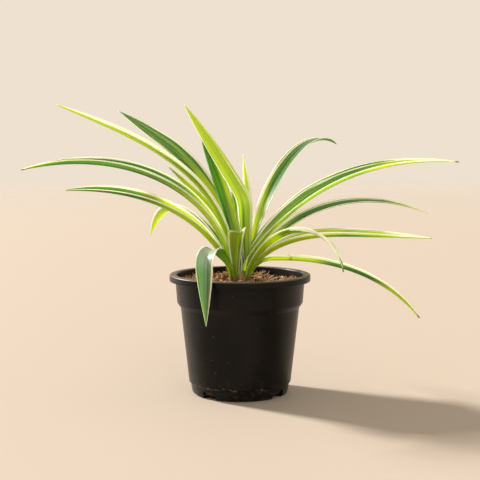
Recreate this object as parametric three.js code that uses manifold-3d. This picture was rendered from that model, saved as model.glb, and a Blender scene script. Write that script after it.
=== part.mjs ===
// A potted spider plant: a rosette of long, arching, channelled leaves that spring from one short
// crown, which stands in coarse potting mix inside a black plastic nursery pot.
//
// Units are millimetres and +Z is up. The origin is on the pot's axis, at its underside.
// +X is to the right of someone who faces the plant, and +Y points away from them.

import * as THREE from "three";
import { mergeVertices } from "three/addons/utils/BufferGeometryUtils.js";
import Module from "manifold-3d";

const wasm = await Module();
wasm.setup();

// Clear gap left around the crown, which touches the mix on the real plant
const GAP = 0.3;

// Nursery pot
const RIM_RADIUS = 60;
const RIM_TOP = 102;
const RIM_PLATE = 1.7;
const SKIRT_DROP = 5.6;
const SKIRT_WALL = 1.5;
const COLLAR_TOP_RADIUS = 55.4;
const COLLAR_LOW_RADIUS = 53.6;
const COLLAR_LOW = 78;
const WALL_TOP = 73.5;
const WALL_TOP_RADIUS = 50.6;
const WALL_LOW = 10;
const WALL_LOW_RADIUS = 43.6;
const FOOT_TOP_RADIUS = 42.3;
const FOOT_RADIUS = 41;
const FOOT_ROUND = 1.6;
const SIDE_STEP = 1;
const LIP_ROUND = 0.8;
const POT_WALL = 1.5;
const POT_FLOOR = 2.4;
const POT_SIDES = 56;

// Drainage notches, cut through the corner where the pot's wall meets its floor
const NOTCH_COUNT = 4;
const NOTCH_FIRST = 231;
const NOTCH_WIDTH = 13;
const NOTCH_HEIGHT = 6.5;
const NOTCH_REACH = 9;
const NOTCH_ROUND = 2;

// Potting mix
const SOIL_TOP = 95;
const SOIL_CLEAR = 0.5;
const SOIL_SIDES = 48;
const SOIL_RINGS = 9;
// Waves of the mix's lumpy top: height, then the turn of a sine and of a cosine along x and y
const SOIL_WAVES = [
  { height: 0.82, sine: [0.31, 0, 1.3], cosine: [0, 0.27, -0.6] },
  { height: 0.68, sine: [0.83, -0.5, 0], cosine: [0.42, 0.74, 2] },
];

// Crown: the short stem, as [share of its radius, height] pairs, and the plain hole that it stands in
const CROWN_FOOT = 64;
const CROWN_RADIUS = 8.8;
const CROWN_SIDES = 16;
const CROWN_OUTLINE = [
  [0, 64],
  [0.4, 64],
  [0.8, 78],
  [1, 91],
  [1.045, 101],
  [0.7, 109],
  [0, 115],
];

// Blades. A leaf is counted from ROOT_HEIGHT on the crown, and the shares below are of its length.
const ROOT_HEIGHT = 92;
const ROOT_SUNK = 5;
const SHEATH_RISE = 80;
const FOOT_FOLD = 50;
const FOLD_END = 0.35;
const ROLL_END = 0.4;
const STALK_END = 0.42;
const TAPER_START = 0.4;
const KEEL_SOFTNESS = 0.06;
const KEEL_THICK = 1.2;
const EDGE_THICK = 0.7;
const TIP_HALF = 0.45;
const LEAF_GAP = 0.6;
const MIDLINE_STEPS = 240;
const STATIONS = 17;
const JOINED_STATIONS = 5;
const ACROSS = [-1, -0.5, 0, 0.5, 1];

// One row for each leaf. joined is the length that is one with the crown, and sheath is the length
// of the upright clasping foot. seat is where the leaf starts, and heading is the angle that it leans
// to, counted from +X towards +Y. Past its foot it climbs at the angle rise and turns to the angle
// tip between the two shares of its length in bend, sooner than evenly where early is above 0. veer
// is how far it swings sideways by its tip. width is the full width, and stalk is the share of it at
// the foot. The blade is broadest at two fifths of its length, or at the share widest. A higher taper
// keeps it broad for longer before its point, and the highest ends it square, as if it were trimmed.
// fold is how far each half is turned up from flat, and roll tilts the blade about its own line.
const LEAVES = [
  {
    name: "leaf_heart", joined: 48, sheath: 24,
    heading: 74, seat: [2.6, 0.5], rise: 68.4, tip: 84.7, bend: [0.70, 0.99], early: -1.20,
    length: 117, width: 9.9, stalk: 0.46, taper: 2.45, veer: 50.3, fold: 24, roll: 0,
  },
  {
    name: "leaf_back_tall", joined: 46, sheath: 24,
    heading: 134, seat: [6.4, 2], rise: 87.1, tip: 48.5, bend: [0.36, 0.44], early: 0.28,
    length: 182, width: 16.0, stalk: 0.46, taper: 3.20, veer: 4.2, fold: 20, roll: -14,
  },
  {
    name: "leaf_back_left_inner", joined: 46, sheath: 24,
    heading: 132, seat: [2.2, 5], rise: 76.8, tip: 58.7, bend: [0.00, 0.81], early: 0.19,
    length: 140, width: 15.5, stalk: 0.46, taper: 3.20, veer: -4.2, fold: 26, roll: -6,
  },
  {
    name: "leaf_back_left_arch", joined: 46, sheath: 24,
    heading: 130, seat: [-3.6, 8.4], rise: 83.5, tip: 24.2, bend: [0.01, 0.69], early: 0.39,
    length: 239, width: 18.3, stalk: 0.46, taper: 3.20, veer: 6.3, fold: 18, roll: -20,
  },
  {
    name: "leaf_left_high", joined: 44, sheath: 24,
    heading: 169, seat: [-3.8, -1.6], rise: 88.0, tip: 23.4, bend: [0.07, 0.88], early: 1.00,
    length: 235, width: 13.1, stalk: 0.46, taper: 3.20, veer: 6.8, fold: 45, roll: 24,
  },
  {
    name: "leaf_left_short", joined: 46, sheath: 24,
    heading: 150, seat: [-7.2, 0], rise: 84.8, tip: 40.9, bend: [0.23, 0.62], early: 0.55,
    length: 125, width: 12.8, stalk: 0.46, taper: 3.20, veer: 0.0, fold: 25, roll: -10,
  },
  {
    name: "leaf_left_long", joined: 41, sheath: 24,
    heading: 185, seat: [-5.8, -5.1], rise: 82.9, tip: -11.0, bend: [0.05, 1.00], early: 0.69,
    length: 243, width: 18.4, stalk: 0.46, taper: 2.16, veer: -31.9, fold: 44, roll: -13,
  },
  {
    name: "leaf_left_low", joined: 32, sheath: 24,
    heading: 202, seat: [-6.4, -5.8], rise: 63.8, tip: -1.2, bend: [0.08, 1.02], early: 0.47,
    length: 178, width: 15.9, stalk: 0.46, taper: 3.17, veer: -2.3, fold: 44, roll: -26,
  },
  {
    name: "leaf_back_left_droop", joined: 28, sheath: 24,
    heading: 133.2, seat: [-4.8, 7.2], rise: 56.5, tip: -52.0, bend: [0.09, 1.00], early: -0.20,
    length: 182.5, width: 13.6, stalk: 0.46, taper: 3.0, veer: -25.0, fold: 25, roll: 27,
  },
  {
    name: "leaf_back_middle", joined: 46, sheath: 24,
    heading: 102, seat: [2.6, 8.6], rise: 74.0, tip: 60.0, bend: [0.00, 0.90], early: 0.00,
    length: 114, width: 12.0, stalk: 0.46, taper: 1.50, veer: 18.0, fold: 24, roll: 0,
  },
  {
    name: "leaf_back_low", joined: 28, sheath: 24,
    heading: 92, seat: [1.4, 8.4], rise: 62.0, tip: -48.0, bend: [0.05, 1.00], early: 0.00,
    length: 150, width: 14.0, stalk: 0.46, taper: 1.50, veer: 4.0, fold: 24, roll: 0,
  },
  {
    name: "leaf_front_left_fold", joined: 28, sheath: 24,
    heading: 243.5, seat: [-4, -7.8], rise: 31, tip: -91.0, bend: [0.40, 0.625], early: 0.00,
    length: 126, width: 21.6, stalk: 0.15, widest: 0.72, taper: 1.5, veer: 12, fold: 22, roll: 0,
  },
  {
    name: "leaf_front", joined: 24, sheath: 24,
    heading: 280, seat: [-3.3, -6.4], rise: 82.0, tip: 30, bend: [0.55, 1.00], early: 0.00,
    length: 52, width: 20.5, stalk: 0.22, widest: 1.0, taper: 24, veer: 0.0, fold: 38, roll: 12,
  },
  {
    name: "leaf_back_right_arch", joined: 36, sheath: 24,
    heading: 56, seat: [3.8, 5.4], rise: 67.3, tip: -21.4, bend: [0.08, 1.04], early: -0.43,
    length: 231, width: 15.6, stalk: 0.20, taper: 3.20, veer: 3.9, fold: 24, roll: 0,
  },
  {
    name: "leaf_right_long", joined: 36, sheath: 24,
    heading: 13, seat: [3.6, 2.4], rise: 63.0, tip: -4.8, bend: [0.05, 1.02], early: 0.37,
    length: 239, width: 21.5, stalk: 0.85, taper: 1.38, veer: -0.8, fold: 41, roll: 19,
  },
  {
    name: "leaf_right_middle", joined: 32, sheath: 24,
    heading: 2, seat: [6.4, -2.8], rise: 62.3, tip: -23.6, bend: [0.07, 1.01], early: 0.14,
    length: 187, width: 15.2, stalk: 0.46, taper: 1.19, veer: -2.2, fold: 30, roll: 28,
  },
  {
    name: "leaf_front_right_hook", joined: 28, sheath: 24,
    heading: 324, seat: [4.2, -7.3], rise: 58.0, tip: -71.2, bend: [0.08, 1.00], early: -0.49,
    length: 142, width: 11.2, stalk: 0.24, taper: 3.20, veer: -21.1, fold: 20, roll: -22,
  },
  {
    name: "leaf_right_level", joined: 30, sheath: 26,
    heading: 340, seat: [6.6, -4.5], rise: 57.9, tip: 1.1, bend: [0.05, 0.66], early: 0.98,
    length: 179, width: 15.1, stalk: 0.34, taper: 2.13, veer: -13.9, fold: 46, roll: 16,
  },
  {
    name: "leaf_right_droop", joined: 28, sheath: 36,
    heading: 17, seat: [7.6, 4], rise: 2.5, tip: -51.0, bend: [0.10, 1.00], early: -0.47,
    length: 182, width: 11.4, stalk: 0.46, taper: 3.20, veer: -23.0, fold: 46, roll: 8,
  },
];

const smooth = (x) => {
  const t = Math.min(1, Math.max(0, x));
  return t * t * (3 - 2 * t);
};
const radians = THREE.MathUtils.degToRad;

// Angle above the horizontal at a share s of a leaf's length
function climb(leaf, s) {
  const [from, to] = leaf.bend;
  const t = THREE.MathUtils.clamp((s - from) / (to - from), 0, 1);
  const arch = leaf.rise + (leaf.tip - leaf.rise) * (t + leaf.early * t * (1 - t));
  const sheath = 1 - smooth((s * leaf.length) / leaf.sheath);
  return radians(arch + (SHEATH_RISE - leaf.rise) * sheath);
}

// Half the blade's width: a narrow stalk that broadens, then a long taper to a point
function halfWidth(leaf, s) {
  const stalk = leaf.stalk + (1 - leaf.stalk) * smooth(s / (leaf.widest ?? STALK_END));
  const taper = 1 - Math.pow(Math.max(0, (s - TAPER_START) / (1 - TAPER_START)), leaf.taper);
  return Math.max(TIP_HALF, (leaf.width / 2) * stalk * taper);
}

// How far each half of the blade is folded up from flat, as an angle: sharply at the clasping foot
const foldAngle = (leaf, s) => radians(leaf.fold + (FOOT_FOLD - leaf.fold) * (1 - smooth(s / FOLD_END)));

// How far the blade's face stands up from its keel at a share u of the half width, 1 at the margin
function channel(u) {
  const low = Math.sqrt(KEEL_SOFTNESS);
  return (Math.sqrt(u * u + KEEL_SOFTNESS) - low) / (Math.sqrt(1 + KEEL_SOFTNESS) - low);
}

// The leaf's midline, as a frame for each station: its place, and the directions along and across it
function midline(leaf, steps) {
  const frames = [];
  const place = new THREE.Vector3(leaf.seat[0], leaf.seat[1], ROOT_HEIGHT);
  for (let i = 0; i <= steps; i++) {
    const s = i / steps;
    const turn = radians(leaf.heading + leaf.veer * s * s);
    const up = climb(leaf, s);
    const level = new THREE.Vector3(Math.cos(turn), Math.sin(turn), 0);
    const along = level.multiplyScalar(Math.cos(up)).setZ(Math.sin(up));
    const side = new THREE.Vector3(-Math.sin(turn), Math.cos(turn), 0);
    side.applyAxisAngle(along, radians(leaf.roll * smooth(s / ROLL_END)));
    frames.push({ s, place: place.clone(), along, side, out: along.clone().cross(side) });
    place.addScaledVector(along, leaf.length / steps);
  }
  return frames;
}

// A closed blade between two lengths along a leaf. Both faces are split along the same diagonals,
// so that they never cross where the blade twists.
function blade(leaf, fromLength, toLength, stations) {
  const frames = midline(leaf, MIDLINE_STEPS);
  const points = [];
  const rim = 2 * ACROSS.length;
  for (let i = 0; i <= stations; i++) {
    const s = THREE.MathUtils.lerp(fromLength, toLength, i / stations) / leaf.length;
    const low = Math.min(MIDLINE_STEPS - 1, Math.floor(s * MIDLINE_STEPS));
    const place = frames[low].place.clone().lerp(frames[low + 1].place, s * MIDLINE_STEPS - low);
    const { side, out } = frames[Math.round(s * MIDLINE_STEPS)];
    const half = halfWidth(leaf, s);
    const angle = foldAngle(leaf, s);
    const shell = (u, depth) => {
      const lift = half * Math.sin(angle) * channel(u);
      const across = half * Math.cos(angle) * u;
      return place.clone().addScaledVector(side, across).addScaledVector(out, lift - depth);
    };
    ACROSS.forEach((u) => points.push(shell(u, 0)));
    [...ACROSS].reverse().forEach((u) =>
      points.push(shell(u, THREE.MathUtils.lerp(KEEL_THICK, EDGE_THICK, Math.abs(u)))),
    );
  }
  const faces = [];
  for (let i = 0; i < stations; i++) {
    for (let k = 0; k < rim; k++) {
      const a = i * rim + k;
      const b = i * rim + ((k + 1) % rim);
      const c = b + rim;
      const d = a + rim;
      if (k < ACROSS.length) faces.push(a, c, b, a, d, c);
      else faces.push(a, d, b, b, d, c);
    }
  }
  for (const [start, flipped] of [[0, false], [stations * rim, true]]) {
    for (let k = 0; k < ACROSS.length - 1; k++) {
      const [a, b, c, d] = [start + k, start + k + 1, start + rim - 2 - k, start + rim - 1 - k];
      if (flipped) faces.push(a, d, c, a, c, b);
      else faces.push(a, c, d, a, b, c);
    }
  }
  const geometry = new THREE.BufferGeometry().setFromPoints(points);
  geometry.setIndex(faces);
  return geometry;
}

// Solid from a closed geometry, and geometry from a solid
function solid(geometry) {
  const bare = new THREE.BufferGeometry().setAttribute("position", geometry.getAttribute("position"));
  if (geometry.index) bare.setIndex(geometry.index);
  const merged = mergeVertices(bare, 1e-4);
  return new wasm.Manifold(
    new wasm.Mesh({
      numProp: 3,
      vertProperties: merged.getAttribute("position").array,
      triVerts: new Uint32Array(merged.index.array),
    }),
  );
}

function geometryOf(body) {
  const mesh = body.getMesh();
  const geometry = new THREE.BufferGeometry();
  geometry.setAttribute("position", new THREE.BufferAttribute(new Float32Array(mesh.vertProperties), 3));
  geometry.setIndex(new THREE.BufferAttribute(mesh.triVerts, 1));
  return geometry;
}

// A solid of revolution about +Z, from [radius, height] pairs that run upwards on the outside
function turned(profile, sides) {
  const lathe = new THREE.LatheGeometry(profile.map(([r, z]) => new THREE.Vector2(r, z)), sides);
  return lathe.rotateX(Math.PI / 2);
}

const plastic = new THREE.MeshStandardMaterial({ color: 0x1d1b1a, roughness: 0.45, metalness: 0 });
const mix = new THREE.MeshStandardMaterial({ color: 0x6b452a, roughness: 0.95, metalness: 0 });
const sheath = new THREE.MeshStandardMaterial({ color: 0x9aa548, roughness: 0.6, metalness: 0 });
const foliage = new THREE.MeshStandardMaterial({ color: 0x6f9a2c, roughness: 0.45, metalness: 0 });

const plant = new THREE.Group();

function place(name, geometry, material) {
  geometry.computeVertexNormals();
  const mesh = new THREE.Mesh(geometry, material);
  mesh.name = name;
  plant.add(mesh);
  return mesh;
}

// The pot's outside, from its underside up to the lip, then down the inside to the floor
function potBody() {
  const outside = [
    [0, 0],
    [FOOT_RADIUS - FOOT_ROUND, 0],
    [FOOT_RADIUS, FOOT_ROUND],
    [FOOT_TOP_RADIUS, WALL_LOW - SIDE_STEP],
    [WALL_LOW_RADIUS, WALL_LOW],
    [WALL_TOP_RADIUS, WALL_TOP],
    [COLLAR_LOW_RADIUS, COLLAR_LOW],
    [COLLAR_TOP_RADIUS, RIM_TOP - RIM_PLATE],
    [RIM_RADIUS - SKIRT_WALL, RIM_TOP - RIM_PLATE],
    [RIM_RADIUS - SKIRT_WALL, RIM_TOP - SKIRT_DROP],
    [RIM_RADIUS, RIM_TOP - SKIRT_DROP],
    [RIM_RADIUS, RIM_TOP - LIP_ROUND],
    [RIM_RADIUS - LIP_ROUND, RIM_TOP],
  ];
  const inside = [
    [COLLAR_TOP_RADIUS - POT_WALL + LIP_ROUND, RIM_TOP],
    [COLLAR_TOP_RADIUS - POT_WALL, RIM_TOP - LIP_ROUND],
    [COLLAR_LOW_RADIUS - POT_WALL, COLLAR_LOW],
    [WALL_TOP_RADIUS - POT_WALL, WALL_TOP],
    [WALL_LOW_RADIUS - POT_WALL, WALL_LOW],
    [FOOT_TOP_RADIUS - POT_WALL, WALL_LOW - SIDE_STEP],
    [FOOT_RADIUS - POT_WALL, POT_FLOOR],
    [0, POT_FLOOR],
  ];
  let body = solid(turned([...outside, ...inside], POT_SIDES));
  for (let i = 0; i < NOTCH_COUNT; i++) {
    const half = NOTCH_WIDTH / 2;
    const arch = new THREE.Shape();
    arch.moveTo(-half, -NOTCH_ROUND);
    arch.lineTo(half, -NOTCH_ROUND);
    arch.lineTo(half, NOTCH_HEIGHT - NOTCH_ROUND);
    arch.quadraticCurveTo(half, NOTCH_HEIGHT, half - NOTCH_ROUND, NOTCH_HEIGHT);
    arch.lineTo(NOTCH_ROUND - half, NOTCH_HEIGHT);
    arch.quadraticCurveTo(-half, NOTCH_HEIGHT, -half, NOTCH_HEIGHT - NOTCH_ROUND);
    const cutter = new THREE.ExtrudeGeometry(arch, {
      depth: 2 * NOTCH_REACH,
      bevelEnabled: false,
      curveSegments: 3,
    });
    cutter.rotateX(Math.PI / 2);
    cutter.translate(0, -(FOOT_RADIUS - NOTCH_REACH), 0);
    cutter.rotateZ(radians(NOTCH_FIRST + 90 + (i * 360) / NOTCH_COUNT));
    body = body.subtract(solid(cutter));
  }
  return geometryOf(body);
}
place("pot", potBody(), plastic);

// Height of the mix's lumpy surface at a place in the pot
function soilHeight(x, y) {
  const phase = ([a, b, shift]) => a * x + b * y + shift;
  const lumps = SOIL_WAVES.map((w) => w.height * Math.sin(phase(w.sine)) * Math.cos(phase(w.cosine)));
  return lumps.reduce((sum, lump) => sum + lump, SOIL_TOP);
}

function soilBody() {
  const wall = (radius) => radius - POT_WALL - SOIL_CLEAR;
  const profile = [
    [0, POT_FLOOR + SOIL_CLEAR],
    [wall(FOOT_RADIUS), POT_FLOOR + SOIL_CLEAR],
    [wall(FOOT_TOP_RADIUS), WALL_LOW - SIDE_STEP],
    [wall(WALL_LOW_RADIUS), WALL_LOW + SIDE_STEP],
    [wall(WALL_TOP_RADIUS), WALL_TOP],
    [wall(COLLAR_LOW_RADIUS), COLLAR_LOW],
    [wall(COLLAR_TOP_RADIUS) - SOIL_CLEAR, SOIL_TOP],
  ];
  const edge = profile[profile.length - 1][0];
  for (let i = SOIL_RINGS - 1; i >= 0; i--) profile.push([(edge * i) / SOIL_RINGS, SOIL_TOP]);
  const geometry = turned(profile, SOIL_SIDES);
  const places = geometry.getAttribute("position");
  for (let i = 0; i < places.count; i++) {
    const [x, y, z] = [places.getX(i), places.getY(i), places.getZ(i)];
    const onTop = z > SOIL_TOP - SOIL_CLEAR && Math.hypot(x, y) < edge - SOIL_CLEAR;
    if (onTop) places.setZ(i, soilHeight(x, y));
  }
  const hole = turned(
    [
      [0, CROWN_FOOT - GAP],
      [CROWN_RADIUS + 2 * GAP, CROWN_FOOT - GAP],
      [CROWN_RADIUS + 2 * GAP, RIM_TOP],
      [0, RIM_TOP],
    ],
    CROWN_SIDES,
  );
  return geometryOf(solid(geometry).subtract(solid(hole)));
}
place("potting_mix", soilBody(), mix);

// The crown: a short stem with the clasping foot of every leaf grown onto it
function crownBody() {
  const stem = CROWN_OUTLINE.map(([share, z]) => [share * CROWN_RADIUS, z]);
  let body = solid(turned(stem, CROWN_SIDES));
  for (const leaf of LEAVES) {
    body = body.add(solid(blade(leaf, ROOT_SUNK, leaf.joined, JOINED_STATIONS)));
  }
  const [largest] = body.decompose().sort((a, b) => b.volume() - a.volume());
  return geometryOf(largest);
}
place("crown", crownBody(), sheath);

for (const leaf of LEAVES) {
  place(leaf.name, blade(leaf, leaf.joined + LEAF_GAP, leaf.length, STATIONS), foliage);
}

export default plant;
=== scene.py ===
# %% [markdown]
# # A potted spider plant
#
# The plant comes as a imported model: a pot, its potting mix, a short crown and nineteen leaves, each
# with its true size and place. This lesson dresses that model for a picture. It loads the model as a
# fixed frame, then grows a finer leaf, pot or heap of mix over each plain solid, in the same place.
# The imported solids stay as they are, because they carry the plant's weight and its collisions.

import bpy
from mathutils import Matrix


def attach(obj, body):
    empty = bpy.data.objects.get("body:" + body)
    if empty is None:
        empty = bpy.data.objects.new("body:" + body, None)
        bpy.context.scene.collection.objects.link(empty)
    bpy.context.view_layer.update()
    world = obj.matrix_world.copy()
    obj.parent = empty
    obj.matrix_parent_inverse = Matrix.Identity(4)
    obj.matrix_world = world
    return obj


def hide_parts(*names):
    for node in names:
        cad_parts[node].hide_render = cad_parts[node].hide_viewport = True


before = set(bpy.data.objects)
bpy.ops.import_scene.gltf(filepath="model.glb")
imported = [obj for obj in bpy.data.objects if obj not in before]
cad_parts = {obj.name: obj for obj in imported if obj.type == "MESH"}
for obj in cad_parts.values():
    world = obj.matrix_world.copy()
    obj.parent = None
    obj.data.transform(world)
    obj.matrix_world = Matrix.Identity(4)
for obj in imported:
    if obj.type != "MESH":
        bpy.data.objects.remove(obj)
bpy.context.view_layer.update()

# %% Everything else that the lesson uses
import math
import random

import bmesh
import bpy
from mathutils import Euler, Matrix, Quaternion, Vector, noise

MM = 0.001
scene = bpy.context.scene

# %% [markdown]
# ## Camera
#
# The photograph was taken from a little above the pot's rim with a long lens, so the rim is a thin
# ellipse and the leaves keep their true lengths. A camera 915 mm in front of the pot, 215 mm above
# the floor and tipped 5.26 degrees down gives the same ellipses and the same places for the tips.
# It is made first, because every later choice is judged through it.

# %% The photograph's camera
CAMERA_PLACE = (0, -0.915, 0.215)
CAMERA_TIP = 5.26
CAMERA_LENS = 81

view = bpy.data.cameras.new("view")
view.lens = CAMERA_LENS
view.sensor_width = 36
view.clip_start = 0.05
camera = bpy.data.objects.new("view", view)
camera.location = CAMERA_PLACE
camera.rotation_euler = Euler((math.radians(90 - CAMERA_TIP), 0, 0))
scene.collection.objects.link(camera)
scene.camera = camera
print("camera:", CAMERA_PLACE, "lens", CAMERA_LENS, "mm")

# %% [markdown]
# ## Shader maths that reads like Python
#
# A finish for a real surface needs masks: where the cream margin is, where dust lies. In the shader
# editor each sum is a Math node, which is hard to read back. A small class that wraps a socket lets
# the same maths be written as an expression, such as `1 - mask * 0.3`, and adds the nodes itself.
# Colours are mixed by a Mix node, because a Math node would turn them grey.

# %% A wrapped socket and a finish
class Wire:
    """One output socket in a finish. Arithmetic on it adds Math nodes."""

    def __init__(self, finish, socket):
        self.finish = finish
        self.socket = socket

    def maths(self, operation, *values):
        return self.finish.node("ShaderNodeMath", {"operation": operation}, dict(enumerate(values)))

    def __add__(self, other):
        return self.maths("ADD", self, other)

    def __radd__(self, other):
        return self.maths("ADD", other, self)

    def __sub__(self, other):
        return self.maths("SUBTRACT", self, other)

    def __rsub__(self, other):
        return self.maths("SUBTRACT", other, self)

    def __mul__(self, other):
        return self.maths("MULTIPLY", self, other)

    def __rmul__(self, other):
        return self.maths("MULTIPLY", other, self)

    def __truediv__(self, other):
        return self.maths("DIVIDE", self, other)

    def sine(self):
        return self.maths("SINE", self)

    def size(self):
        return self.maths("ABSOLUTE", self)

    def rise(self, low, high):
        """0 below low, 1 above high, and a smooth step between."""
        ends = {"Value": self, "From Min": low, "From Max": high}
        return self.finish.node("ShaderNodeMapRange", {"interpolation_type": "SMOOTHSTEP"}, ends)


class Finish:
    """A material that is built node by node."""

    def __init__(self, name):
        self.material = bpy.data.materials.new(name)
        self.material.use_nodes = True
        self.tree = self.material.node_tree
        self.tree.nodes.clear()

    def node(self, kind, settings=(), inputs=(), output=0):
        """Adds a node, sets it up, fills its sockets, and gives one of its outputs."""
        node = self.tree.nodes.new(kind)
        for key, value in dict(settings).items():
            setattr(node, key, value)
        for key, value in dict(inputs).items():
            if isinstance(value, Wire):
                self.tree.links.new(value.socket, node.inputs[key])
            else:
                node.inputs[key].default_value = value
        return Wire(self, node.outputs[output])

    def attribute(self, name):
        return self.node("ShaderNodeAttribute", {"attribute_name": name}, output="Fac")

    def object_place(self):
        return self.node("ShaderNodeTexCoord", output="Object")

    def height(self):
        return self.node("ShaderNodeSeparateXYZ", inputs={0: self.object_place()}, output="Z")

    def noise(self, vector, scale, detail=3, roughness=0.5):
        sockets = {"Vector": vector, "Scale": scale, "Detail": detail, "Roughness": roughness}
        return self.node("ShaderNodeTexNoise", inputs=sockets)

    def stretch(self, vector, scale):
        return self.node("ShaderNodeVectorMath", {"operation": "MULTIPLY"}, {0: vector, 1: scale})

    def blend(self, first, second, factor):
        """A colour between two colours."""
        colours = {0: factor, 6: first, 7: second}
        return self.node("ShaderNodeMix", {"data_type": "RGBA"}, colours, 2)

    def bump(self, height, strength, distance):
        sockets = {"Height": height, "Strength": strength, "Distance": distance}
        return self.node("ShaderNodeBump", inputs=sockets)

    def layer(self, first, second, factor):
        """One shader over another."""
        return self.node("ShaderNodeMixShader", inputs={0: factor, 1: first, 2: second})

    def done(self, shader):
        end = self.tree.nodes.new("ShaderNodeOutputMaterial")
        self.tree.links.new(shader.socket, end.inputs["Surface"])
        return self.material


def rgb(red, green, blue):
    """A colour from screen values of 0 to 255, as the linear values that shaders take."""
    linear = [c / 3294.6 if c <= 10 else ((c / 255 + 0.055) / 1.055) ** 2.4 for c in (red, green, blue)]
    return (*linear, 1.0)


# %% [markdown]
# ## From a bmesh to a piece of the plant
#
# Every finer piece follows the same last steps: its mesh goes into an object at the origin, it takes
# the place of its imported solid, and it moves with the plant. One helper does this for all of them.

# %% Make a piece from a bmesh
def make_piece(bm, name, finishes, node, smooth=True):
    mesh = bpy.data.meshes.new(name)
    bm.to_mesh(mesh)
    bm.free()
    for finish in finishes:
        mesh.materials.append(finish)
    mesh.polygons.foreach_set("use_smooth", [smooth] * len(mesh.polygons))
    piece = bpy.data.objects.new(name, mesh)
    scene.collection.objects.link(piece)
    if node:
        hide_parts(node)
    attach(piece, "root")
    return piece


# %% [markdown]
# ## The line of a leaf
#
# A spider plant's leaf is a long narrow blade, folded along its keel like a shallow gutter. It
# stands nearly upright in a clasping foot, then climbs, arches and droops. It could be drawn with a
# Bezier curve and a bevel, but then the fold, the twist and the taper would be hard to steer. Here a
# formula walks along the leaf: at each share of its length it knows the slope and the heading.
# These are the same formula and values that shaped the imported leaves, so the finer blades match.
# One short leaf in front ends square, as if it had been trimmed: it is broadest at its very end.

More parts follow.
